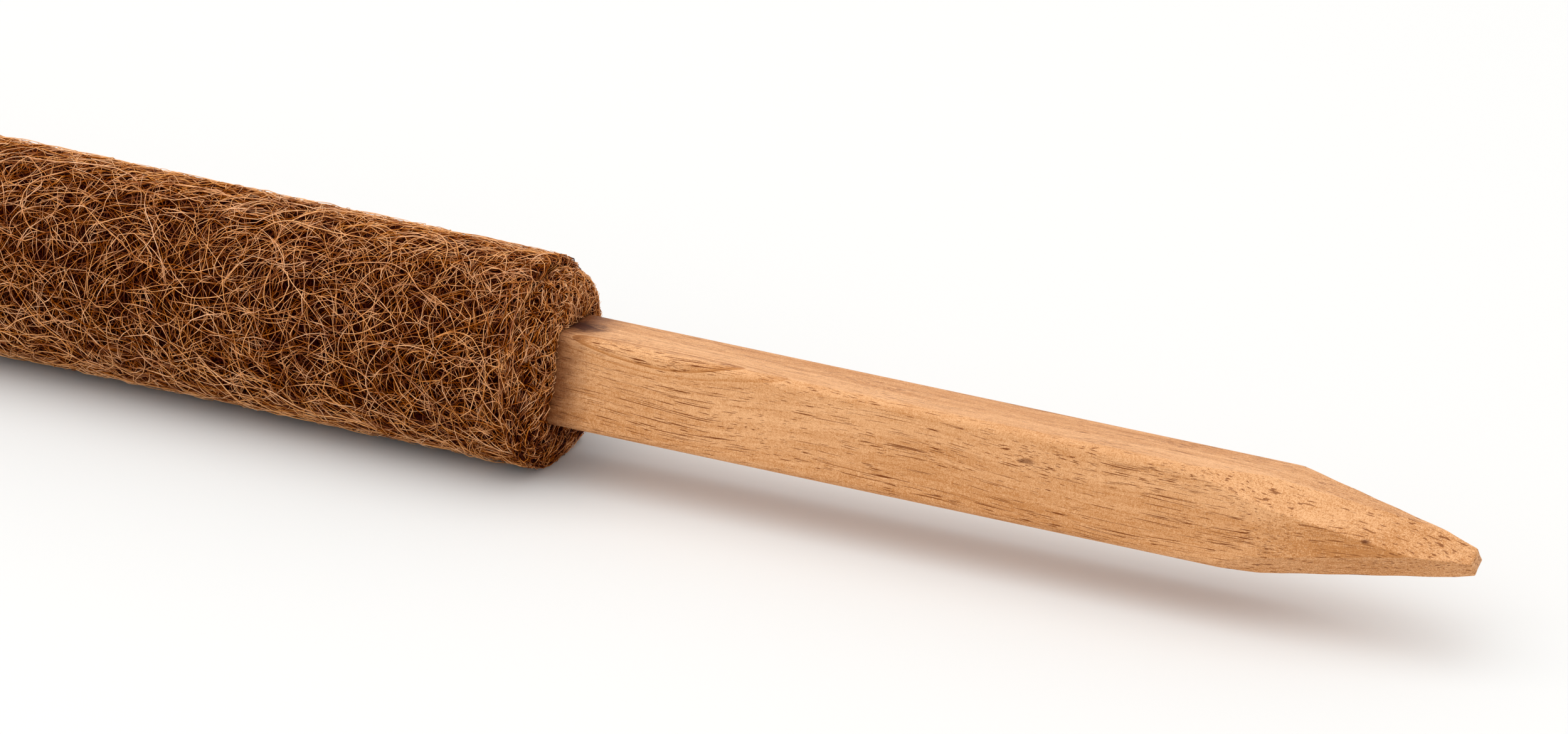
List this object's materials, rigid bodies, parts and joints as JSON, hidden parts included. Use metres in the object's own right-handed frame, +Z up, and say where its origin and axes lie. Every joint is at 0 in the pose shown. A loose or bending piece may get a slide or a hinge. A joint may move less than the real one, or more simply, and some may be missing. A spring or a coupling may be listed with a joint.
{
  "type": "moss pole",
  "caption": "Climbing-plant pole: a thick coconut-fibre mat rolled round a square wooden stake whose bare end is whittled to a blunt point for pushing into soil.",
  "frame": {"origin": "middle of the bounding box, on the surface that the pole lies on", "axes": "+X along the pole towards the point, +Z up from the surface, the seam of the mat underneath at the back"},
  "size_m": [0.6, 0.0448, 0.0434],
  "materials": {
    "wood": "planed light hardwood, open pores, untreated, rough on the whittled point",
    "coir": "tangled brown coconut fibre, needled into a thick mat and set with latex",
    "latex": "dried natural latex film, cream, slightly tacky",
    "staple_wire": "galvanised flat wire"
  },
  "bodies": {
    "root": {"stake": "wood", "coir_mat": "coir", "lap_bond_strip": "latex", "staple_1": "staple_wire", "staple_2": "staple_wire", "staple_3": "staple_wire", "staple_4": "staple_wire", "staple_5": "staple_wire", "staple_6": "staple_wire"}
  },
  "joints": []
}
